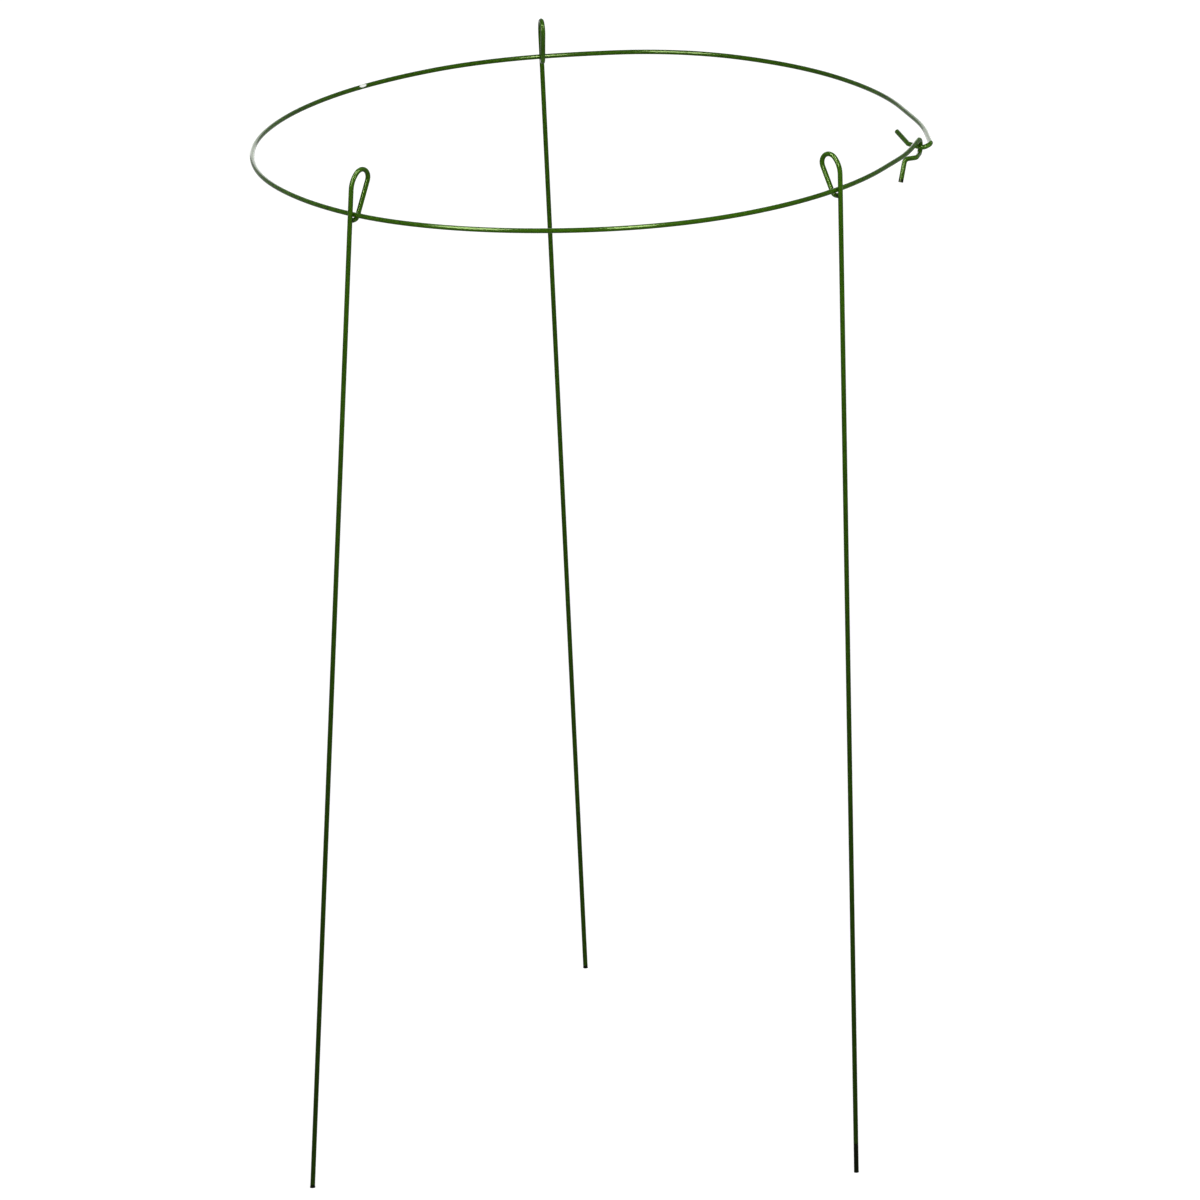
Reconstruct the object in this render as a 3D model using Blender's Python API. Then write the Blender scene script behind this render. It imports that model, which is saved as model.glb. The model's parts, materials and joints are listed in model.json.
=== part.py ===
"""Wire plant support: a hooked wire ring carried by three stakes that swing on it."""
import math

import bmesh
import bpy
import numpy as np
from mathutils import Matrix, Vector

MM = 0.001

# Wire
WIRE = 3.0 * MM
WIRE_SIDES = 16
BEND_STEP = math.radians(11.0)
ARC_CHORD = 10.0 * MM
STRAIGHT_STEP = 40.0 * MM
SAMPLE_STEP = 0.8 * MM

# Ring
RING_RADIUS = 200.0 * MM  # to the middle of the wire
RING_HEIGHT = 618.0 * MM  # middle of the ring's wire above the ground

# Closure of the ring: two hooks, placed at an azimuth round the ring
CLOSURE_AZIMUTH = math.radians(-12.0)
STRAND_CLEARANCE = 0.6 * MM  # free gap where the two hooks cross
CROSSING = WIRE + STRAND_CLEARANCE
FLAT_HOOK_RADIUS = WIRE + 0.5 * MM
UPRIGHT_HOOK_RADIUS = WIRE + 1.2 * MM
UPRIGHT_HOOK_FLAT = 0.8 * MM
TAIL_BEND_RADIUS = 3.0 * MM
KNEE_RADIUS = 4.0 * MM
FRONT_SWEEP_RADIUS = 150.0 * MM
FLAT_TAIL_RISE = 4.0 * MM
UPRIGHT_TAIL_DROP = 13.2 * MM

# Bend corners of the closure in plan: outward from the ring, along it
FLAT_TAIL_TIP = (-11.0 * MM, 19.7 * MM)
FLAT_TAIL_BEND = (-2.1 * MM, 6.3 * MM)
FLAT_HOOK_INNER = (8.3 * MM, -1.7 * MM)
FLAT_HOOK_OUTER = (12.6 * MM, 1.5 * MM)
BACK_SWEEP = (2.1 * MM, 39.9 * MM)
FRONT_SWEEP = (2.2 * MM, -20.4 * MM)
UPRIGHT_HOOK_TOP = (5.5 * MM, 6.9 * MM)
UPRIGHT_HOOK_BOTTOM = (5.2 * MM, 5.3 * MM)
UPRIGHT_KNEE = (4.5 * MM, -5.1 * MM)
UPRIGHT_TAIL_BEND = (-1.3 * MM, -11.5 * MM)
UPRIGHT_TAIL_TIP = (-3.5 * MM, -16.1 * MM)

# Closed eye at the top of each stake
RING_CLEARANCE = 0.3 * MM
TIP_CLEARANCE = 0.45 * MM
EYE_TOP_RADIUS = 5.8 * MM
EYE_SHOULDER_RADIUS = 13.4 * MM
EYE_REACH = 8.1 * MM  # middle of the top loop, inward from the stake's line

# Stakes: azimuth on the ring, outward splay, side lean, eye height over the ring
STAKES = {
    "stake_left": (-133.5, 3.4, -3.6, 26.9),
    "stake_right": (-42.5, 0.7, -2.1, 21.2),
    "stake_back": (97.0, 0.2, -0.3, 24.5),
}

# Green coat
COAT_GREEN = (0.030, 0.130, 0.012, 1.0)


def clear_scene():
    for item in list(bpy.data.objects):
        bpy.data.objects.remove(item, do_unlink=True)


def rounded(corners, radii):
    """Points of a wire bent at each inner corner, tighter where a straight is short."""
    points = [corners[0]]
    for k, radius in enumerate(radii, start=1):
        corner = corners[k]
        back = corners[k - 1] - corner
        ahead = corners[k + 1] - corner
        room = min(
            back.length * (1.0 if k == 1 else 0.5),
            ahead.length * (1.0 if k == len(radii) else 0.5))
        back.normalize()
        ahead.normalize()
        half = back.angle(ahead) / 2.0
        radius = min(radius, room * math.tan(half))
        turn = math.pi - 2.0 * half
        centre = corner + (back + ahead).normalized() * (radius / math.sin(half))
        start = corner + back * (radius / math.tan(half)) - centre
        steps = max(2, math.ceil(turn / BEND_STEP), math.ceil(turn * radius / ARC_CHORD))
        for step in range(steps + 1):
            angle = turn * step / steps
            points.append(centre + start * math.cos(angle) - back * (radius * math.sin(angle)))
    points.append(corners[-1])
    return points


def divided(points, step):
    """The same run of points with long straights split into even lengths."""
    result = [points[0]]
    for start, end in zip(points, points[1:]):
        count = max(1, math.ceil((end - start).length / step))
        result.extend(start.lerp(end, k / count) for k in range(1, count + 1))
    return result


def ring_point(azimuth):
    return Vector((math.cos(azimuth), math.sin(azimuth), 0.0)) * RING_RADIUS


def closure_point(corner, height):
    """A closure corner in the ring's own frame, at a height over the ring's middle."""
    local = Vector((RING_RADIUS + corner[0], corner[1], height))
    return Matrix.Rotation(CLOSURE_AZIMUTH, 3, "Z") @ local


def tangent_azimuth(point, side):
    """Azimuth where a straight run from the point meets the circle of the ring."""
    distance = math.hypot(point.x, point.y)
    return math.atan2(point.y, point.x) + side * math.acos(RING_RADIUS / distance)


def ring_path():
    """Wire line of the ring: flat hook, back run, round, front run, upright hook."""
    below = -CROSSING / 2.0
    above = CROSSING / 2.0 + 0.6 * MM
    bottom = above - 2.0 * UPRIGHT_HOOK_RADIUS - UPRIGHT_HOOK_FLAT
    tail = bottom + 0.6 * MM
    back = [
        closure_point(FLAT_TAIL_TIP, below + FLAT_TAIL_RISE),
        closure_point(FLAT_TAIL_BEND, below + 0.2 * MM),
        closure_point(FLAT_HOOK_INNER, below),
        closure_point(FLAT_HOOK_OUTER, 0.0),
        closure_point(BACK_SWEEP, 0.0),
    ]
    front = [
        closure_point(FRONT_SWEEP, 0.0),
        closure_point(UPRIGHT_HOOK_TOP, above),
        closure_point(UPRIGHT_HOOK_BOTTOM, bottom),
        closure_point(UPRIGHT_KNEE, bottom - 0.1 * MM),
        closure_point(UPRIGHT_TAIL_BEND, tail),
        closure_point(UPRIGHT_TAIL_TIP, tail - UPRIGHT_TAIL_DROP),
    ]
    first = tangent_azimuth(back[-1], 1.0)
    last = tangent_azimuth(front[0], -1.0) + 2.0 * math.pi
    count = math.ceil((last - first) * RING_RADIUS / ARC_CHORD)
    arc = [ring_point(first + (last - first) * k / count) for k in range(count + 1)]
    back_radii = (TAIL_BEND_RADIUS, FLAT_HOOK_RADIUS, FLAT_HOOK_RADIUS, RING_RADIUS)
    front_radii = (
        FRONT_SWEEP_RADIUS, UPRIGHT_HOOK_RADIUS, UPRIGHT_HOOK_RADIUS, KNEE_RADIUS,
        TAIL_BEND_RADIUS)
    start = rounded(back + arc[:1], back_radii)
    end = rounded(arc[-1:] + front, front_radii)
    return divided(start + arc[1:-1] + end, STRAIGHT_STEP)


def planar_arc(centre, radius, start, end):
    """Arc in the plane of the eye, which runs inward and upward."""
    steps = max(2, math.ceil(abs(end - start) / BEND_STEP))
    angles = [start + (end - start) * k / steps for k in range(steps + 1)]
    return [(centre[0] + radius * math.cos(a), centre[1] + radius * math.sin(a)) for a in angles]


def eye_outline(eye_height):
    """Wire line from the stake's shoulder to the tip of the hook, ring wire at (0, 0)."""
    hook = WIRE + RING_CLEARANCE
    leg = -hook
    top = (leg + EYE_REACH, eye_height - EYE_TOP_RADIUS)
    shift = EYE_SHOULDER_RADIUS - EYE_REACH
    drop = math.sqrt((EYE_SHOULDER_RADIUS - EYE_TOP_RADIUS) ** 2 - shift ** 2)
    shoulder = (leg + EYE_SHOULDER_RADIUS, top[1] - drop)
    blend = math.atan2(drop, -shift)
    # The slanted strand is tangent to the top loop and to the hook round the ring
    distance = math.hypot(*top)
    strand = math.atan2(top[1], top[0]) - math.acos((hook - EYE_TOP_RADIUS) / distance)
    outline = planar_arc(shoulder, EYE_SHOULDER_RADIUS, math.pi, blend)
    outline += planar_arc(top, EYE_TOP_RADIUS, blend, strand)[1:]
    outline += planar_arc((0.0, 0.0), hook, strand, -math.pi / 2.0)
    outline.append((leg + WIRE / 2.0 + TIP_CLEARANCE, -hook))
    return outline


def stake_path(splay, lean, eye_height):
    """Wire line from just under the ground to the hook, about the ring's wire."""
    outline = eye_outline(eye_height)
    turn = Matrix.Rotation(lean, 3, "X") @ Matrix.Rotation(-splay, 3, "Y")
    eye = [turn @ Vector((-inward, 0.0, up)) for inward, up in outline]
    down = turn @ Vector((0.0, 0.0, -1.0))
    foot = eye[0] + down * ((RING_HEIGHT + eye[0].z + WIRE) / -down.z)
    return divided([foot] + eye, STRAIGHT_STEP)


def tube_mesh(points):
    """Round wire along the points, as a bevelled curve with filled ends."""
    curve = bpy.data.curves.new("wire_line", "CURVE")
    curve.dimensions = "3D"
    curve.resolution_u = 1
    curve.bevel_depth = WIRE / 2.0
    curve.bevel_resolution = (WIRE_SIDES - 4) // 2
    curve.use_fill_caps = True
    spline = curve.splines.new("POLY")
    spline.points.add(len(points) - 1)
    for knot, point in zip(spline.points, points):
        knot.co = (*point, 1.0)
    guide = bpy.data.objects.new("wire_line", curve)
    bpy.context.scene.collection.objects.link(guide)
    evaluated = guide.evaluated_get(bpy.context.evaluated_depsgraph_get())
    mesh = bpy.data.meshes.new_from_object(evaluated)
    bpy.data.objects.remove(guide, do_unlink=True)
    return mesh


def close_and_level(mesh, ground):
    """Weld the end caps and, where a ground height is given, cut the foot level with it."""
    work = bmesh.new()
    work.from_mesh(mesh)
    bmesh.ops.remove_doubles(work, verts=work.verts, dist=0.001 * MM)
    if ground is not None:
        everything = work.verts[:] + work.edges[:] + work.faces[:]
        bmesh.ops.bisect_plane(
            work, geom=everything, plane_co=(0.0, 0.0, ground), plane_no=(0.0, 0.0, -1.0),
            clear_outer=True)
        rim = [edge for edge in work.edges if edge.is_boundary]
        bmesh.ops.edgeloop_fill(work, edges=rim)
    bmesh.ops.recalc_face_normals(work, faces=work.faces)
    work.to_mesh(mesh)
    work.free()


def surface_points(centres):
    """A round of surface points about every point of the wire's line."""
    surface = []
    for k, centre in enumerate(centres):
        before = centres[max(k - 1, 0)]
        after = centres[min(k + 1, len(centres) - 1)]
        tangent = (after - before).normalized()
        first = tangent.orthogonal().normalized() * (WIRE / 2.0)
        second = tangent.cross(first)
        for j in range(WIRE_SIDES):
            angle = 2.0 * math.pi * j / WIRE_SIDES
            surface.append(centre + first * math.cos(angle) + second * math.sin(angle))
    return np.array(surface)


def least_self_gap(points):
    """Least free gap between parts of one wire that are apart along its length."""
    centres = divided(points, SAMPLE_STEP)
    surface = surface_points(centres)
    steps = [(end - start).length for start, end in zip(centres, centres[1:])]
    along = np.concatenate(([0.0], np.cumsum(steps)))
    station = np.repeat(along, WIRE_SIDES)
    least = math.inf
    for centre, place in zip(np.array(centres), along):
        if min(place, along[-1] - place) < WIRE / 2.0:
            continue
        apart = surface[np.abs(station - place) > math.pi * WIRE]
        distances = np.linalg.norm(apart - centre, axis=1)
        least = min(least, float(distances.min()) - WIRE / 2.0)
    return least


def coat_material(name):
    material = bpy.data.materials.new(name)
    material.use_nodes = True
    shader = material.node_tree.nodes["Principled BSDF"]
    shader.inputs["Base Color"].default_value = COAT_GREEN
    shader.inputs["Metallic"].default_value = 0.0
    shader.inputs["Roughness"].default_value = 0.25
    return material


def add_wire(name, points, origin, ground=None):
    """One wire piece whose points are about its own origin in the ring's frame."""
    mesh = tube_mesh(points)
    mesh.name = name
    close_and_level(mesh, ground)
    mesh.materials.clear()
    mesh.materials.append(coat_material(name + "_coat"))
    mesh.shade_smooth()
    mesh.set_sharp_from_angle(angle=math.radians(50.0))
    item = bpy.data.objects.new(name, mesh)
    item.location = origin
    bpy.context.scene.collection.objects.link(item)
    print(f"{name}: least self-gap {least_self_gap(points) / MM:.2f} mm")
    return item


def centre_over_ground(items):
    """Move everything so that the middle of the overall box stands over the origin."""
    corners = [item.location + vertex.co for item in items for vertex in item.data.vertices]
    middle_x = (min(c.x for c in corners) + max(c.x for c in corners)) / 2.0
    middle_y = (min(c.y for c in corners) + max(c.y for c in corners)) / 2.0
    shift = Vector((-middle_x, -middle_y, RING_HEIGHT))
    for item in items:
        item.location = item.location + shift
        print(f"{item.name} origin {[round(value, 6) for value in item.location]}")


def build():
    clear_scene()
    items = [add_wire("ring", ring_path(), Vector())]
    for name, (azimuth, splay, lean, eye_height) in STAKES.items():
        angle = math.radians(azimuth)
        path = stake_path(math.radians(splay), math.radians(lean), eye_height * MM)
        around = Matrix.Rotation(angle, 3, "Z")
        points = [around @ point for point in path]
        items.append(add_wire(name, points, ring_point(angle), -RING_HEIGHT))
    centre_over_ground(items)


build()
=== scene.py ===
"""Looks of a wire plant support: a hooked hoop and three eyed stakes of coated wire."""

import json
import math

import bpy
from bpy.props import FloatProperty, FloatVectorProperty, PointerProperty, StringProperty
from mathutils import Matrix, Vector


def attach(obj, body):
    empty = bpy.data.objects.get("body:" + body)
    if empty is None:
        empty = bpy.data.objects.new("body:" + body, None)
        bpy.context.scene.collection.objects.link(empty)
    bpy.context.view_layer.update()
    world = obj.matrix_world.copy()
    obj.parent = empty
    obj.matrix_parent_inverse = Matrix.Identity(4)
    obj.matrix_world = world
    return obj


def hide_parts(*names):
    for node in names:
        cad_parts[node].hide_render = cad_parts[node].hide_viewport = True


bl_info = {
    "name": "Wire plant support",
    "version": (1, 0, 0),
    "blender": (4, 5, 0),
    "location": "3D View > Sidebar > Plant Support",
    "description": "A hooked hoop on three swinging stakes of coated wire, and a plain stage",
    "category": "Add Mesh",
}

MM = 0.001
UP = Vector((0.0, 0.0, 1.0))

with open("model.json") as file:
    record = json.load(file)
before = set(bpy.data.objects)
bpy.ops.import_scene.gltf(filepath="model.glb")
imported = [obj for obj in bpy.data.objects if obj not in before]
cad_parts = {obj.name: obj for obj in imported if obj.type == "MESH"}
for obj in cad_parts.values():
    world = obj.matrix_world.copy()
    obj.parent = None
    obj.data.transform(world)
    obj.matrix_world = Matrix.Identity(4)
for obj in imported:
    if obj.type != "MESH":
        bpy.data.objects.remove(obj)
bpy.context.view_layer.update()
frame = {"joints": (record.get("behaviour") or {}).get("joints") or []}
joints = {joint["name"]: joint for joint in frame["joints"]}


def linear(hex_colour):
    """An sRGB hex colour as linear values."""
    channels = [int(hex_colour[k:k + 2], 16) / 255.0 for k in (0, 2, 4)]
    return [c / 12.92 if c <= 0.04045 else ((c + 0.055) / 1.055) ** 2.4 for c in channels]


class WireSizes(bpy.types.PropertyGroup):
    """Sizes shared by the hoop and the stakes."""
    wire: FloatProperty(
        name="Wire", description="Diameter over the coat", default=3.0 * MM, unit="LENGTH")
    coat: FloatProperty(
        name="Coat", description="Thickness of the coat at a cut end", default=0.35 * MM,
        unit="LENGTH")
    ring_radius: FloatProperty(
        name="Hoop radius", description="To the middle of the wire", default=200.0 * MM,
        unit="LENGTH")
    ring_height: FloatProperty(
        name="Hoop height", description="Middle of the hoop's wire above the ground",
        default=618.0 * MM, unit="LENGTH")
    closure_azimuth: FloatProperty(
        name="Closure", description="Place of the hooks round the hoop",
        default=math.radians(-12.0), unit="ROTATION")
    strand_clearance: FloatProperty(
        name="Strand clearance", description="Free gap where the two hooks cross",
        default=0.6 * MM, unit="LENGTH")
    ring_clearance: FloatProperty(
        name="Eye clearance", description="Free gap between an eye and the hoop",
        default=0.3 * MM, unit="LENGTH")
    tip_clearance: FloatProperty(
        name="Tip clearance", description="Free gap between a hook's tip and its stake",
        default=0.45 * MM, unit="LENGTH")
    eye_top: FloatProperty(
        name="Eye top radius", description="Bend at the top of an eye", default=5.8 * MM,
        unit="LENGTH")
    eye_shoulder: FloatProperty(
        name="Eye shoulder radius", description="Bend between stake and eye top",
        default=13.4 * MM, unit="LENGTH")
    eye_reach: FloatProperty(
        name="Eye reach", description="Middle of the eye's top inward from the stake",
        default=8.1 * MM, unit="LENGTH")


class WireFinish(bpy.types.PropertyGroup):
    """Colours of the wire."""
    coat_green: FloatVectorProperty(
        name="Coat", description="Green of the smooth coat", subtype="COLOR",
        default=linear("2C4F06"))
    coat_pale: FloatVectorProperty(
        name="Stretched coat", description="Paler green on the outside of tight bends",
        subtype="COLOR", default=linear("456E24"))
    cut_steel: FloatVectorProperty(
        name="Cut end", description="Dark sheared face of the steel core", subtype="COLOR",
        default=linear("1E1E1C"))
    # Painted shade: near black laid on the coat at the sheared ends
    painted_end_shade: FloatVectorProperty(
        name="Painted end shade", description="Nearly black smear on the coat at the sheared ends",
        subtype="COLOR", default=linear("050803"))
    # Painted glint: a near-white metal spot that stands for a glint on the hoop
    glint_spot_white: FloatVectorProperty(
        name="Painted glint", description="Bright zinc where the hoop's coat is scraped off",
        subtype="COLOR", default=linear("EEF0EC"))


class StageLook(bpy.types.PropertyGroup):
    """Camera, floor and light."""
    paper: FloatVectorProperty(
        name="Floor", description="Colour of the paper floor", subtype="COLOR",
        default=linear("909090"))
    distance: FloatProperty(
        name="Camera distance", description="From the middle of the hoop", default=5.0,
        unit="LENGTH")
    elevation: FloatProperty(
        name="Camera elevation", description="Above the level of the hoop",
        default=math.radians(15.506), unit="ROTATION")
    pan: FloatProperty(
        name="Camera pan", description="Turn away from the hoop's middle, to the left",
        default=math.radians(0.025), unit="ROTATION")
    tilt: FloatProperty(
        name="Camera tilt", description="Turn away from the hoop's middle, upward",
        default=math.radians(-3.208), unit="ROTATION")
    roll: FloatProperty(
        name="Camera roll", description="Turn about the line of sight",
        default=math.radians(2.386), unit="ROTATION")
    lens: FloatProperty(
        name="Focal length", description="In millimetres on a 36 mm sensor", default=246.81)


def ring_middle(sizes):
    """Middle of the hoop, found from the places where the stakes swing on it."""
    places = [Vector(joint["pos_m"]) for joint in joints.values()]
    axes = [Vector(joint["axis"]) for joint in joints.values()]
    middles = [
        place + axis.cross(UP).normalized() * sizes.ring_radius
        for place, axis in zip(places, axes)]
    return sum(middles, Vector()) / len(middles)


def add_node(tree, kind, links=(), **settings):
    """One node with its settings; links are (input, output socket or value) pairs."""
    node = tree.nodes.new(kind)
    for key, value in settings.items():
        setattr(node, key, value)
    for socket, source in links:
        if isinstance(source, bpy.types.NodeSocket):
            tree.links.new(source, node.inputs[socket])
        else:
            node.inputs[socket].default_value = source
    return node


def new_material(name):
    """A material with an empty node tree and its output node."""
    material = bpy.data.materials.new(name)
    material.use_nodes = True
    tree = material.node_tree
    tree.nodes.clear()
    output = tree.nodes.new("ShaderNodeOutputMaterial")
    return material, tree, output


# Colour inputs and output of a Mix node
MIX_A = 6
MIX_B = 7
MIXED = 2

# One painted glint on the hoop, a near-white metal spot 6 mm long and 2 mm wide: place
# round the hoop, place on the wire in its widths, and half size
GLINT_SPOT_AZIMUTH = math.radians(133.4)
GLINT_SPOT_INWARD = 0.47
GLINT_SPOT_UPWARD = 0.17
GLINT_SPOT_REACH = (1.1 * MM, 3.1 * MM, 1.1 * MM)


def glint_spot_mask(tree, place, sizes):
    """One inside the painted glint, which lies on the hoop's inner side and a little upward."""
    outward = Vector((math.cos(GLINT_SPOT_AZIMUTH), math.sin(GLINT_SPOT_AZIMUTH), 0.0))
    spot = outward * (sizes.ring_radius - GLINT_SPOT_INWARD * sizes.wire)
    spot.z = GLINT_SPOT_UPWARD * sizes.wire
    centred = add_node(tree, "ShaderNodeMapping", [
        ("Vector", place), ("Location", ring_middle(sizes) + spot),
        ("Rotation", (0.0, 0.0, GLINT_SPOT_AZIMUTH)), ("Scale", GLINT_SPOT_REACH)],
        vector_type="TEXTURE")
    away = add_node(tree, "ShaderNodeVectorMath", [
        (0, centred.outputs["Vector"])], operation="LENGTH")
    return add_node(tree, "ShaderNodeMapRange", [
        ("Value", away.outputs["Value"]), ("From Min", 0.85), ("From Max", 1.0),
        ("To Min", 1.0), ("To Max", 0.0)]).outputs["Result"]


def coated_wire_material(finish, sizes):
    """Extruded green PVC on steel wire: a smooth gloss skin with faint mottling, painted shade
    at the sheared ends and one painted glint on the hoop.
    """
    material, tree, output = new_material("green PVC coated wire")
    place = add_node(tree, "ShaderNodeTexCoord").outputs["Object"]
    # Cloudy tone of the coat, patches about 30 mm long
    cloud = add_node(tree, "ShaderNodeTexNoise", [
        ("Vector", place), ("Scale", 1.0 / (30.0 * MM)), ("Detail", 3.0), ("Roughness", 0.5)])
    tone = add_node(tree, "ShaderNodeMapRange", [
        ("Value", cloud.outputs["Fac"]), ("From Min", 0.3), ("From Max", 0.7),
        ("To Min", 0.88), ("To Max", 1.10)])
    toned = add_node(tree, "ShaderNodeHueSaturation", [
        ("Value", tone.outputs["Result"]), ("Color", (*finish.coat_green, 1.0))])
    # The coat pales where a tight bend stretches it
    stretch = add_node(tree, "ShaderNodeAttribute", attribute_name="stretch")
    grain = add_node(tree, "ShaderNodeTexNoise", [
        ("Vector", place), ("Scale", 1.0 / (1.2 * MM)), ("Detail", 2.0)])
    paling = add_node(tree, "ShaderNodeMath", [
        (0, stretch.outputs["Fac"]), (1, grain.outputs["Fac"])], operation="MULTIPLY")
    colour = add_node(tree, "ShaderNodeMix", [
        ("Factor", paling.outputs["Value"]), (MIX_A, toned.outputs["Color"]),
        (MIX_B, (*finish.coat_pale, 1.0))], data_type="RGBA")
    # Painted shade: the sheared ends are coloured nearly black for the shade they stand in
    tip = add_node(tree, "ShaderNodeAttribute", attribute_name="tip")
    smeared = add_node(tree, "ShaderNodeMix", [
        ("Factor", tip.outputs["Fac"]), (MIX_A, colour.outputs[MIXED]),
        (MIX_B, (*finish.painted_end_shade, 1.0))], data_type="RGBA")
    # Painted glint: a near-white spot on the hoop's coat, also made metallic below
    glint_spot = glint_spot_mask(tree, place, sizes)
    with_glint_spot = add_node(tree, "ShaderNodeMix", [
        ("Factor", glint_spot), (MIX_A, smeared.outputs[MIXED]),
        (MIX_B, (*finish.glint_spot_white, 1.0))], data_type="RGBA")
    gloss = add_node(tree, "ShaderNodeMapRange", [
        ("Value", grain.outputs["Fac"]), ("From Min", 0.3), ("From Max", 0.7),
        ("To Min", 0.10), ("To Max", 0.16)])
    # Orange peel of the extruded skin, about 0.8 mm across and a few microns deep
    peel = add_node(tree, "ShaderNodeTexNoise", [
        ("Vector", place), ("Scale", 1.0 / (0.8 * MM)), ("Detail", 1.0)])
    bump = add_node(tree, "ShaderNodeBump", [
        ("Height", peel.outputs["Fac"]), ("Strength", 0.2), ("Distance", 0.02 * MM)])
    shader = add_node(tree, "ShaderNodeBsdfPrincipled", [
        ("Base Color", with_glint_spot.outputs[MIXED]), ("Roughness", gloss.outputs["Result"]),
        ("Normal", bump.outputs["Normal"]), ("IOR", 1.53), ("Metallic", glint_spot),
        ("Specular IOR Level", 0.06), ("Specular Tint", (0.75, 1.0, 0.4, 1.0))])
    tree.links.new(shader.outputs["BSDF"], output.inputs["Surface"])
    return material


def cut_steel_material(finish):
    """Sheared end of mild steel wire: dark, torn across, with a dull metal glint."""
    material, tree, output = new_material("sheared mild steel")
    place = add_node(tree, "ShaderNodeTexCoord").outputs["Object"]
    tear = add_node(tree, "ShaderNodeTexNoise", [
        ("Vector", place), ("Scale", 1.0 / (0.5 * MM)), ("Detail", 4.0)])
    rough = add_node(tree, "ShaderNodeMapRange", [
        ("Value", tear.outputs["Fac"]), ("To Min", 0.45), ("To Max", 0.75)])
    bump = add_node(tree, "ShaderNodeBump", [
        ("Height", tear.outputs["Fac"]), ("Strength", 0.6), ("Distance", 0.05 * MM)])
    shader = add_node(tree, "ShaderNodeBsdfPrincipled", [
        ("Base Color", (*finish.cut_steel, 1.0)), ("Roughness", rough.outputs["Result"]),
        ("Normal", bump.outputs["Normal"]), ("Metallic", 1.0)])
    tree.links.new(shader.outputs["BSDF"], output.inputs["Surface"])
    return material


def seen_directly(tree):
    """One for camera, glossy and transmission rays, nought for light that bounces on."""
    rays = add_node(tree, "ShaderNodeLightPath").outputs
    gloss = add_node(tree, "ShaderNodeMath", [
        (0, rays["Is Glossy Ray"]), (1, rays["Is Transmission Ray"])], operation="MAXIMUM")
    return add_node(tree, "ShaderNodeMath", [
        (0, rays["Is Camera Ray"]), (1, gloss.outputs["Value"])],
        operation="MAXIMUM").outputs["Value"]


def paper_material(look):
    """Matt paper floor that fades into white for the eye and keeps the shadow."""
    material, tree, output = new_material("matt white paper")
    place = add_node(tree, "ShaderNodeTexCoord").outputs["Object"]
    fibre = add_node(tree, "ShaderNodeTexNoise", [
        ("Vector", place), ("Scale", 1.0 / (2.0 * MM)), ("Detail", 2.0)])
    bump = add_node(tree, "ShaderNodeBump", [
        ("Height", fibre.outputs["Fac"]), ("Strength", 0.05), ("Distance", 0.05 * MM)])
    shader = add_node(tree, "ShaderNodeBsdfPrincipled", [
        ("Base Color", (*look.paper, 1.0)), ("Roughness", 0.9),
        ("Specular IOR Level", 0.1), ("Normal", bump.outputs["Normal"])])
    # The glow makes up what the lamps leave out, so that the far floor is as white as the near
    away = add_node(tree, "ShaderNodeVectorMath", [(0, place)], operation="LENGTH")
    glow_level = add_node(tree, "ShaderNodeMapRange", [
        ("Value", away.outputs["Value"]), ("From Min", 0.0), ("From Max", 1.7),
        ("To Min", 0.915), ("To Max", 1.0)])
    strength = add_node(tree, "ShaderNodeMath", [
        (0, seen_directly(tree)), (1, glow_level.outputs["Result"])], operation="MULTIPLY")
    glow = add_node(tree, "ShaderNodeEmission", [
        ("Color", (1.0, 1.0, 1.0, 1.0)), ("Strength", strength.outputs["Value"])])
    both = add_node(tree, "ShaderNodeAddShader", [
        (0, shader.outputs["BSDF"]), (1, glow.outputs["Emission"])])
    tree.links.new(both.outputs["Shader"], output.inputs["Surface"])
    return material


# Faces round the wire, and how far one step goes round a bend or along a straight
SIDES = 24
BEND_STEP = math.radians(7.0)
BEND_REACH = 7.0 * MM
STRAIGHT_STEP = 12.0 * MM
SHORTEST_STEP = 0.01 * MM

# A cut end is coloured nearly black as painted shade; the last ring inside that length stands a
# little short of it
END_SHADE_LENGTH = 2.0 * MM
END_SHADE_SHORT = 0.1 * MM
END_SHADE_EDGE = 0.3 * MM

# A flared foot, and the lip and depth of the sheared core in a cut end
FLARE = 1.0 * MM
CORE_LIP = 0.05 * MM
CORE_DEPTH = 0.15 * MM

# Bends tighter than this pale the coat on their outside
TIGHT_BEND = 20.0 * MM


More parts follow.
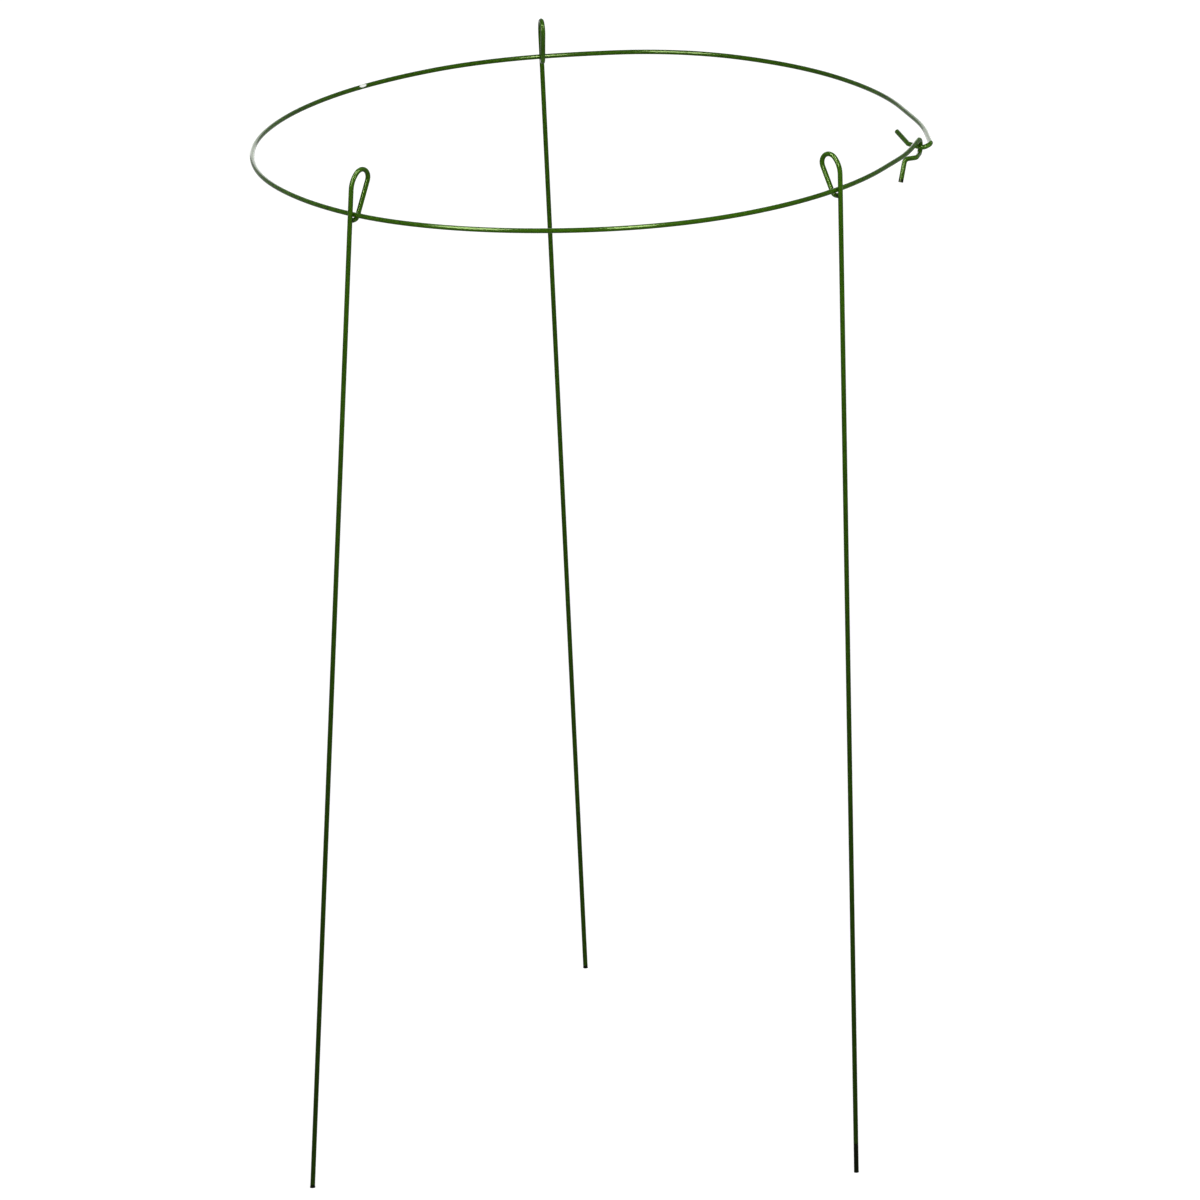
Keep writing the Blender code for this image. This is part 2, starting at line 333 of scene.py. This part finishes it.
class Wire:
    """A wire drawn out from a disc by extrusions for straights and spins for bends."""

    def __init__(self, name, point, heading, radius, coat):
        self.point = point.copy()
        self.heading = heading.normalized()
        self.radius = radius
        self.coat = coat
        self.bends = []
        self.dark = []
        bpy.ops.object.select_all(action="DESELECT")
        turn = self.heading.to_track_quat("Z", "Y").to_euler()
        bpy.ops.mesh.primitive_circle_add(
            vertices=SIDES, radius=radius, fill_type="NGON", location=point, rotation=turn)
        self.piece = bpy.context.object
        self.piece.name = name
        self.piece.data.name = name
        bpy.ops.object.transform_apply(location=True, rotation=True, scale=True)
        bpy.ops.object.mode_set(mode="EDIT")
        bpy.ops.mesh.select_mode(type="FACE")
        bpy.ops.mesh.select_all(action="SELECT")

    def straight(self, length):
        """Go straight on for a length, in even steps."""
        if length < SHORTEST_STEP:
            return
        count = max(1, math.ceil(length / STRAIGHT_STEP))
        step = self.heading * (length / count)
        for _ in range(count):
            bpy.ops.mesh.extrude_region_move(TRANSFORM_OT_translate={"value": step})
        self.point = self.point + self.heading * length

    def flared_end(self, spread, smear):
        """Start at a sheared end that is a little wider and coloured nearly black as painted
        shade for a length.
        """
        self.dark.append((self.point.copy(), self.heading.copy(), smear))
        bpy.ops.transform.resize(value=(spread,) * 3)
        self.straight(FLARE)
        bpy.ops.transform.resize(value=(1.0 / spread,) * 3)
        self.straight(smear - FLARE - END_SHADE_SHORT)
        self.straight(END_SHADE_EDGE)

    def dark_end(self):
        """Stop at a sheared end that is coloured nearly black as painted shade for its last 2
        mm.
        """
        self.straight(END_SHADE_EDGE)
        self.straight(END_SHADE_LENGTH - END_SHADE_SHORT)
        self.dark.append((self.point.copy(), -self.heading, END_SHADE_LENGTH))

    def bend(self, centre, axis, turn):
        """Turn by the right-hand rule about the axis; the spin operator counts the other way."""
        step = min(BEND_STEP, BEND_REACH / (self.point - centre).length)
        count = max(2, math.ceil(turn / step))
        bpy.ops.mesh.spin(steps=count, angle=-turn, center=centre, axis=axis, dupli=False)
        rotation = Matrix.Rotation(turn, 3, axis)
        self.bends.append((centre.copy(), axis.normalized(), self.point.copy(), turn))
        self.point = centre + rotation @ (self.point - centre)
        self.heading = (rotation @ self.heading).normalized()

    def corners(self, corners, radii):
        """Follow corners, each rounded by its radius or as far as its straights allow."""
        points = [self.point.copy()] + list(corners)
        for k, radius in enumerate(radii, start=1):
            corner = points[k]
            back = points[k - 1] - corner
            ahead = points[k + 1] - corner
            room = min(
                back.length * (1.0 if k == 1 else 0.5),
                ahead.length * (1.0 if k == len(radii) else 0.5))
            back.normalize()
            ahead.normalize()
            half = back.angle(ahead) / 2.0
            radius = min(radius, room * math.tan(half))
            start = corner + back * (radius / math.tan(half))
            centre = corner + (back + ahead).normalized() * (radius / math.sin(half))
            self.straight((start - self.point).length)
            self.bend(centre, (-back).cross(ahead), math.pi - 2.0 * half)
        self.straight((points[-1] - self.point).length)

    def end_faces(self):
        """The two cut ends, the only faces with more than four corners."""
        return [face for face in self.piece.data.polygons if len(face.vertices) > 4]

    def cut_ends(self):
        """Both ends show the coat's rim round a core that is sheared a little deeper."""
        bpy.ops.mesh.select_all(action="DESELECT")
        bpy.ops.object.mode_set(mode="OBJECT")
        for face in self.end_faces():
            face.select = True
        bpy.ops.object.mode_set(mode="EDIT")
        bpy.ops.mesh.inset(thickness=self.coat, depth=0.0, use_individual=True)
        bpy.ops.mesh.inset(thickness=CORE_LIP, depth=-CORE_DEPTH, use_individual=True)

    def finish(self, body, node, coat_material, steel_material):
        """Cut the ends, dress the wire and let it stand for its CAD node."""
        self.cut_ends()
        bpy.ops.mesh.select_all(action="SELECT")
        bpy.ops.mesh.normals_make_consistent(inside=False)
        bpy.ops.object.mode_set(mode="OBJECT")
        bpy.ops.object.shade_smooth_by_angle(angle=math.radians(50.0))
        mesh = self.piece.data
        mesh.materials.append(coat_material)
        mesh.materials.append(steel_material)
        for face in self.end_faces():
            face.material_index = 1
        self.mark_stretch()
        self.mark_tips()
        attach(self.piece, body)
        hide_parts(node)
        return self.piece

    def mark_stretch(self):
        """Attribute that tells how far the coat is stretched, on the outside of tight bends."""
        mesh = self.piece.data
        stretch = mesh.attributes.new("stretch", "FLOAT", "POINT")
        tight = [bend for bend in self.bends if (bend[2] - bend[0]).length < TIGHT_BEND]
        for vertex in mesh.vertices:
            most = 0.0
            for centre, axis, start, turn in tight:
                arm = vertex.co - centre
                arm = arm - axis * arm.dot(axis)
                radius = (start - centre).length
                # Farther out than the bend's own wire, it is another strand
                if arm.length > radius + self.radius * 1.1:
                    continue
                first = (start - centre).normalized()
                angle = math.atan2(first.cross(arm).dot(axis), first.dot(arm))
                if -0.05 <= angle <= turn + 0.05:
                    outside = max(0.0, (arm.length - radius) / self.radius)
                    most = max(most, outside * min(1.0, self.radius * 3.0 / radius))
            stretch.data[vertex.index].value = most

    def mark_tips(self):
        """Attribute that is one on the sheared ends that carry painted shade."""
        mesh = self.piece.data
        tip = mesh.attributes.new("tip", "FLOAT", "POINT")
        for vertex in mesh.vertices:
            arms = [(vertex.co - end, inward, smear) for end, inward, smear in self.dark]
            tip.data[vertex.index].value = float(any(
                arm.length < smear + 2.0 * MM and arm.dot(inward) < smear
                for arm, inward, smear in arms))


def finishes():
    """The wire's two materials, made once."""
    finish = bpy.context.scene.plant_support_finish
    sizes = bpy.context.scene.plant_support_sizes
    coat = bpy.data.materials.get("green PVC coated wire") or coated_wire_material(finish, sizes)
    steel = bpy.data.materials.get("sheared mild steel") or cut_steel_material(finish)
    return coat, steel


# How the hand-bent hoop is out of true between its eyes, as five gentle bows: middle and half
# length in degrees round the hoop, then the offset outward and upward in mm
HOOP_BOWS = (
    (28.0, 21.0, -0.7, -1.05),
    (70.0, 19.0, 0.3, 1.0),
    (137.0, 26.0, -0.2, -0.55),
    (186.0, 28.0, 1.8, 0.0),
    (260.0, 27.0, -0.2, 0.6),
)


def bow(azimuth):
    """Outward and upward offset of the hoop's wire; each bow is level for its middle third."""
    degrees = math.degrees(azimuth) % 360.0
    for middle, half_length, outward, up in HOOP_BOWS:
        share = 1.5 * (1.0 - abs(degrees - middle) / half_length)
        if share > 0.0:
            share = min(share, 1.0)
            share = share * share * (3.0 - 2.0 * share)
            return outward * share * MM, up * share * MM
    return 0.0, 0.0


# Bend radii of the closure, and what the hooks' bends have over the width of the wire
TAIL_BEND = 3.0 * MM
KNEE = 4.0 * MM
FRONT_SWEEP = 150.0 * MM
FLAT_HOOK_ROOM = 0.5 * MM
UPRIGHT_HOOK_ROOM = 1.2 * MM
UPRIGHT_HOOK_FLAT = 0.8 * MM

# Height that the flat tail gains and the hanging tail loses
FLAT_TAIL_RISE = 4.0 * MM
HANGING_TAIL_DROP = 13.2 * MM

# One corner of the hoop for about every twelve degrees
RIM_STEP = math.radians(12.0)


def closure_corners(sizes):
    """Bend corners of the flat hook, then of the upright hook, about the hoop's middle."""
    crossing = sizes.wire + sizes.strand_clearance
    below = -crossing / 2.0
    above = crossing / 2.0 + 0.6 * MM
    bottom = above - 2.0 * (sizes.wire + UPRIGHT_HOOK_ROOM) - UPRIGHT_HOOK_FLAT
    tail = bottom + 0.6 * MM
    turn = Matrix.Rotation(sizes.closure_azimuth, 3, "Z")

    def corner(outward, along, height):
        """Outward from the hoop's wire and along it in mm, then the height."""
        return turn @ Vector((sizes.ring_radius + outward * MM, along * MM, height))

    back = [
        corner(-11.0, 19.7, below + FLAT_TAIL_RISE),
        corner(-2.1, 6.3, below + 0.2 * MM),
        corner(8.3, -1.7, below),
        corner(12.6, 1.5, 0.0),
        corner(2.1, 39.9, 0.0),
    ]
    front = [
        corner(2.2, -20.4, 0.0),
        corner(5.5, 6.9, above),
        corner(5.2, 5.3, bottom),
        corner(4.5, -5.1, bottom - 0.1 * MM),
        corner(-1.3, -11.5, tail),
        corner(-3.5, -16.1, tail - HANGING_TAIL_DROP),
    ]
    return back, front


def tangent_azimuth(corner, radius, side):
    """Azimuth where a straight run from the corner meets the hoop's circle."""
    distance = math.hypot(corner.x, corner.y)
    return math.atan2(corner.y, corner.x) + side * math.acos(radius / distance)


def hoop_corners(sizes, back, front):
    """Corners round the hoop between the runs of its two hooks, each with its bow."""
    radius = sizes.ring_radius
    first = tangent_azimuth(back[-1], radius, 1.0)
    last = tangent_azimuth(front[0], radius, -1.0) + 2.0 * math.pi
    count = round((last - first) / RIM_STEP)
    pitch = (last - first) / count
    corners = []
    for k in range(count):
        azimuth = first + (k + 0.5) * pitch
        outward, up = bow(azimuth)
        reach = (radius + outward) / math.cos(pitch / 2.0)
        corners.append(Vector((reach * math.cos(azimuth), reach * math.sin(azimuth), up)))
    return corners


class PLANTSUPPORT_OT_hoop(bpy.types.Operator):
    """Add the hoop with its flat hook and its upright hook, bent from one wire"""
    bl_idname = "plant_support.hoop"
    bl_label = "Add Hoop"

    def execute(self, context):
        sizes = context.scene.plant_support_sizes
        middle = ring_middle(sizes)
        back, front = closure_corners(sizes)
        round_corners = hoop_corners(sizes, back, front)
        # The hanging tail's end, which carries painted shade, is drawn after its corners
        up_the_tail = (front[-2] - front[-1]).normalized()
        front[-1] = front[-1] + up_the_tail * (END_SHADE_LENGTH + END_SHADE_EDGE - END_SHADE_SHORT)
        path = [middle + corner for corner in back + round_corners + front]
        flat_hook = sizes.wire + FLAT_HOOK_ROOM
        upright_hook = sizes.wire + UPRIGHT_HOOK_ROOM
        radii = [TAIL_BEND, flat_hook, flat_hook, sizes.ring_radius]
        # More than the hoop's radius, so that each bend takes all the room between two corners
        radii += [1.5 * sizes.ring_radius] * len(round_corners)
        radii += [FRONT_SWEEP, upright_hook, upright_hook, KNEE, TAIL_BEND]
        wire = Wire("hoop_wire", path[0], path[1] - path[0], sizes.wire / 2.0, sizes.coat)
        wire.corners(path[1:], radii)
        wire.dark_end()
        wire.finish("hoop", "ring", *finishes())
        return {"FINISHED"}


# Each stake: outward and side lean in degrees, top of its eye over the hoop in mm, width of its
# foot against the wire, and length of the foot's painted shade in mm
STAKES = {
    "left": (3.4, -3.6, 26.9, 1.18, 2.0),
    "right": (0.7, -2.1, 21.2, 1.03, 19.0),
    "back": (0.2, -0.3, 24.5, 1.08, 2.0),
}


class PLANTSUPPORT_OT_stake(bpy.types.Operator):
    """Add one stake with its closed eye, bent from one wire"""
    bl_idname = "plant_support.stake"
    bl_label = "Add Stake"

    side: StringProperty(
        name="Side", description="Which stake: left, right or back", default="left")
    splay: FloatProperty(
        name="Splay", description="Outward lean of the stake", default=math.radians(3.4),
        unit="ROTATION")
    lean: FloatProperty(
        name="Side lean", description="Lean along the hoop", default=math.radians(-3.6),
        unit="ROTATION")
    eye_height: FloatProperty(
        name="Eye height", description="Top of the eye over the hoop's middle",
        default=26.9 * MM, unit="LENGTH")
    foot_spread: FloatProperty(
        name="Foot spread", description="Width of the sheared foot against the wire",
        default=1.18)
    # Painted shade: how far up the foot the coat is coloured nearly black
    foot_smear: FloatProperty(
        name="Foot shade", description="Length of the dark smear above the foot",
        default=END_SHADE_LENGTH, unit="LENGTH")

    def execute(self, context):
        sizes = context.scene.plant_support_sizes
        joint = joints["swing_" + self.side]
        pivot = Vector(joint["pos_m"])
        outward = UP.cross(Vector(joint["axis"]))
        azimuth = math.atan2(outward.y, outward.x)
        turn = (
            Matrix.Rotation(azimuth, 3, "Z")
            @ Matrix.Rotation(self.lean, 3, "X")
            @ Matrix.Rotation(-self.splay, 3, "Y"))
        hook = sizes.wire + sizes.ring_clearance
        top_inward = sizes.eye_reach - hook
        top_up = self.eye_height - sizes.eye_top
        shift = sizes.eye_shoulder - sizes.eye_reach
        drop = math.sqrt((sizes.eye_shoulder - sizes.eye_top) ** 2 - shift ** 2)
        blend = math.atan2(drop, -shift)
        strand = math.atan2(top_up, top_inward) - math.acos(
            (hook - sizes.eye_top) / math.hypot(top_inward, top_up))

        def place(inward, up):
            return pivot + turn @ Vector((-inward, 0.0, up))

        axis = turn @ Vector((0.0, -1.0, 0.0))
        start = place(-hook, top_up - drop)
        down = turn @ Vector((0.0, 0.0, -1.0))
        foot = start + down * (start.z / -down.z)
        wire = Wire("stake_wire_" + self.side, foot, start - foot, sizes.wire / 2.0, sizes.coat)
        self.level_foot(wire)
        wire.flared_end(self.foot_spread, self.foot_smear)
        wire.straight((start - wire.point).length)
        wire.bend(place(sizes.eye_shoulder - hook, top_up - drop), axis, math.pi - blend)
        wire.bend(place(top_inward, top_up), axis, blend - strand)
        reach = place(hook * math.cos(strand), hook * math.sin(strand))
        wire.straight((reach - wire.point).length)
        wire.bend(pivot, axis, strand + math.pi / 2.0)
        wire.straight(hook - sizes.wire / 2.0 - sizes.tip_clearance)
        wire.finish(self.side + "_stake", "stake_" + self.side, *finishes())
        return {"FINISHED"}

    def level_foot(self, wire):
        """The foot's cut face lies flat on the ground."""
        bpy.ops.object.mode_set(mode="OBJECT")
        for vertex in wire.piece.data.vertices:
            vertex.co = vertex.co - wire.heading * (vertex.co.z / wire.heading.z)
        bpy.ops.object.mode_set(mode="EDIT")


# Soft square lamps that light the coat and face upward, which leaves the feet darker: place from
# the hoop's middle, height over it that they face, and watts
SOFT_SIZE = 0.6
SOFT_LAMPS = (
    ("left_soft", (-0.50, -0.65, 0.50), 0.75, 7.4),
    ("front_soft", (0.15, -0.95, 0.30), 0.65, 5.8),
    ("right_soft", (0.75, -0.45, 0.35), 0.65, 4.1),
    ("back_soft", (-0.35, 0.10, 1.10), 0.0, 2.2),
)

# Tall strips that only the gloss picks up, each as one streak on the front of the hoop: place
# from the hoop's middle, direction of their length, width, length and watts
STRIP_LAMPS = (
    ("left_strip", (-0.56, -0.587, 0.634), (0.217, 0.613, 0.759), 0.36, 1.29, 134.0),
    ("right_strip", (0.215, -0.759, 0.662), (-0.079, 0.643, 0.762), 0.23, 0.92, 87.0),
)


class PLANTSUPPORT_OT_stage(bpy.types.Operator):
    """Add the paper floor, the studio light and the camera"""
    bl_idname = "plant_support.stage"
    bl_label = "Add Stage"

    def execute(self, context):
        look = context.scene.plant_support_stage
        sizes = context.scene.plant_support_sizes
        bpy.ops.object.select_all(action="DESELECT")
        bpy.ops.mesh.primitive_plane_add(size=60.0, location=(0.0, 0.0, 0.0))
        floor = context.object
        floor.name = "paper_floor"
        floor.data.materials.append(paper_material(look))
        self.add_world()
        self.add_lamps(UP * sizes.ring_height)
        self.add_camera(look, sizes)
        context.scene.view_settings.view_transform = "Standard"
        return {"FINISHED"}

    def add_lamps(self, hoop):
        """Soft lamps for the coat's colour, and lamps that only its gloss shows."""
        for name, place, aim, power in SOFT_LAMPS:
            soft = self.add_lamp(
                name, hoop + Vector(place), hoop + UP * aim, UP, SOFT_SIZE, SOFT_SIZE, power)
            soft.visible_glossy = False
        for name, place, along, width, length, power in STRIP_LAMPS:
            strip = self.add_lamp(
                name, hoop + Vector(place), hoop, Vector(along), width, length, power)
            strip.visible_diffuse = False
        # A lit backdrop far behind, which the gloss shows where the hoop runs away from the eye
        height = UP * 1.2
        backdrop = self.add_lamp(
            "backdrop_light", height + Vector((0.0, 4.0, 0.0)), height, UP, 2.85, 2.4, 56.0)
        backdrop.visible_diffuse = False

    def add_lamp(self, name, place, target, along, width, length, power):
        """An area lamp that faces the target, its length turned to lie along a direction."""
        data = bpy.data.lights.new(name, "AREA")
        data.shape = "RECTANGLE"
        data.size = width
        data.size_y = length
        data.energy = power
        lamp = bpy.data.objects.new(name, data)
        lamp.location = place
        back = (place - target).normalized()
        across = along.cross(back).normalized()
        lamp.rotation_euler = Matrix((across, back.cross(across), back)).transposed().to_euler()
        lamp.visible_camera = False
        bpy.context.scene.collection.objects.link(lamp)
        return lamp

    def add_world(self):
        """White for the eye and the gloss, and nearly dark for the light that it sheds."""
        world = bpy.data.worlds.new("studio")
        world.use_nodes = True
        tree = world.node_tree
        tree.nodes.clear()
        strength = add_node(tree, "ShaderNodeMapRange", [
            ("Value", seen_directly(tree)), ("To Min", 0.03), ("To Max", 1.0)])
        light = add_node(tree, "ShaderNodeBackground", [
            ("Color", (1.0, 1.0, 1.0, 1.0)), ("Strength", strength.outputs["Result"])])
        output = add_node(tree, "ShaderNodeOutputWorld")
        tree.links.new(light.outputs["Background"], output.inputs["Surface"])
        bpy.context.scene.world = world

    def add_camera(self, look, sizes):
        """Camera that faces the hoop's middle and is then panned, tilted and rolled."""
        away = Vector((0.0, -math.cos(look.elevation), math.sin(look.elevation)))
        sight = -away
        right = Vector((1.0, 0.0, 0.0))
        up = right.cross(sight)
        panned = Matrix.Rotation(look.pan, 3, up)
        sight, right = panned @ sight, panned @ right
        tilted = Matrix.Rotation(look.tilt, 3, right)
        sight, up = tilted @ sight, tilted @ up
        rolled = Matrix.Rotation(look.roll, 3, sight)
        right, up = rolled @ right, rolled @ up
        data = bpy.data.cameras.new("camera")
        data.sensor_width = 36.0
        data.lens = look.lens
        data.clip_end = 100.0
        camera = bpy.data.objects.new("camera", data)
        camera.location = ring_middle(sizes) + away * look.distance
        camera.rotation_euler = Matrix((right, up, -sight)).transposed().to_euler()
        bpy.context.scene.collection.objects.link(camera)
        bpy.context.scene.camera = camera


class PLANTSUPPORT_PT_panel(bpy.types.Panel):
    """Pieces of the plant support and its stage"""
    bl_idname = "PLANTSUPPORT_PT_panel"
    bl_label = "Plant Support"
    bl_space_type = "VIEW_3D"
    bl_region_type = "UI"
    bl_category = "Plant Support"

    def draw(self, context):
        layout = self.layout
        for group in ("plant_support_sizes", "plant_support_finish", "plant_support_stage"):
            values = getattr(context.scene, group)
            for key in values.bl_rna.properties.keys():
                if key not in ("rna_type", "name"):
                    layout.prop(values, key)
        for operator in (PLANTSUPPORT_OT_hoop, PLANTSUPPORT_OT_stake, PLANTSUPPORT_OT_stage):
            layout.operator(operator.bl_idname)


CLASSES = (
    WireSizes, WireFinish, StageLook, PLANTSUPPORT_OT_hoop, PLANTSUPPORT_OT_stake,
    PLANTSUPPORT_OT_stage, PLANTSUPPORT_PT_panel,
)


def register():
    """Make the classes and the scene's three groups of values known to Blender."""
    for item in CLASSES:
        bpy.utils.register_class(item)
    bpy.types.Scene.plant_support_sizes = PointerProperty(type=WireSizes)
    bpy.types.Scene.plant_support_finish = PointerProperty(type=WireFinish)
    bpy.types.Scene.plant_support_stage = PointerProperty(type=StageLook)


def unregister():
    """Take back what register did."""
    del bpy.types.Scene.plant_support_stage
    del bpy.types.Scene.plant_support_finish
    del bpy.types.Scene.plant_support_sizes
    for item in reversed(CLASSES):
        bpy.utils.unregister_class(item)


def main():
    """Build the support and its stage."""
    register()
    bpy.ops.plant_support.hoop()
    for side, (splay, lean, eye_height, foot_spread, foot_smear) in STAKES.items():
        bpy.ops.plant_support.stake(
            side=side, splay=math.radians(splay), lean=math.radians(lean),
            eye_height=eye_height * MM, foot_spread=foot_spread, foot_smear=foot_smear * MM)
    bpy.ops.plant_support.stage()


if __name__ == "__main__":
    main()
